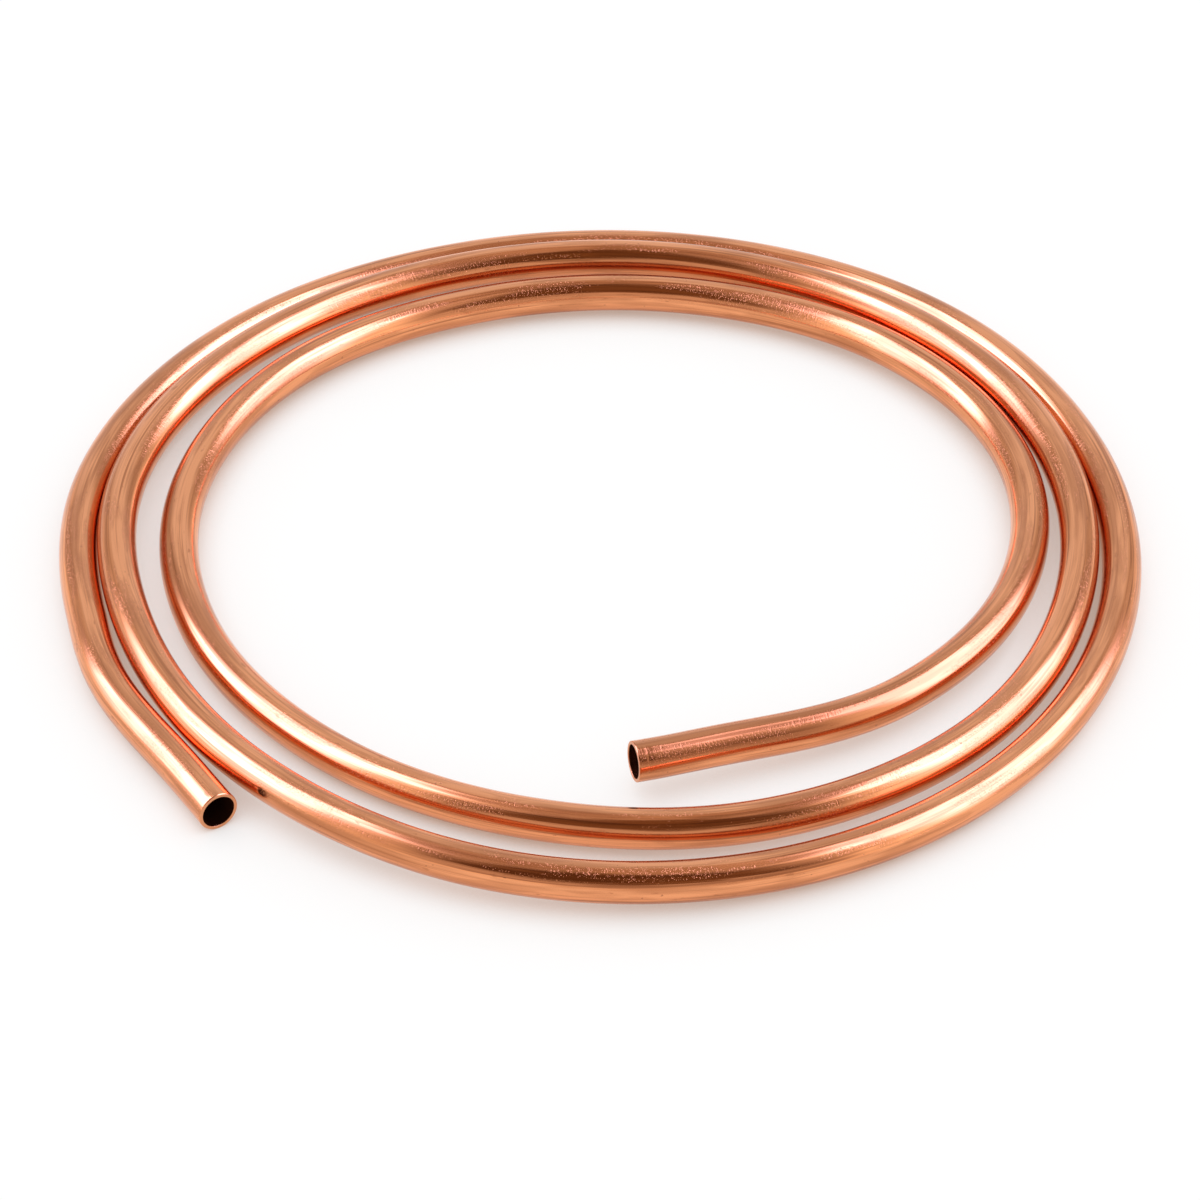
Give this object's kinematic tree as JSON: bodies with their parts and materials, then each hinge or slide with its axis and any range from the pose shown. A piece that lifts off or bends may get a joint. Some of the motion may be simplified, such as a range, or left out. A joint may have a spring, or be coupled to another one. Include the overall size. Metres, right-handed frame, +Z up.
{
  "type": "copper tube coil",
  "caption": "Length of soft bare copper tube wound by hand into a flat open coil, with both ends cut square and open.",
  "frame": {"origin": "middle of the coil's footprint, on the floor it lies on", "axes": "+Z up from the floor; +X to the right across the coil's widest measure; the inner end of the tube is at the front (-Y) and the outer end at the front left"},
  "size_m": [0.4104, 0.408, 0.0215],
  "materials": {
    "copper": "bright drawn copper, satin, with fine lengthwise draw lines"
  },
  "bodies": {
    "root": {"copper_tube": "copper"}
  },
  "joints": []
}
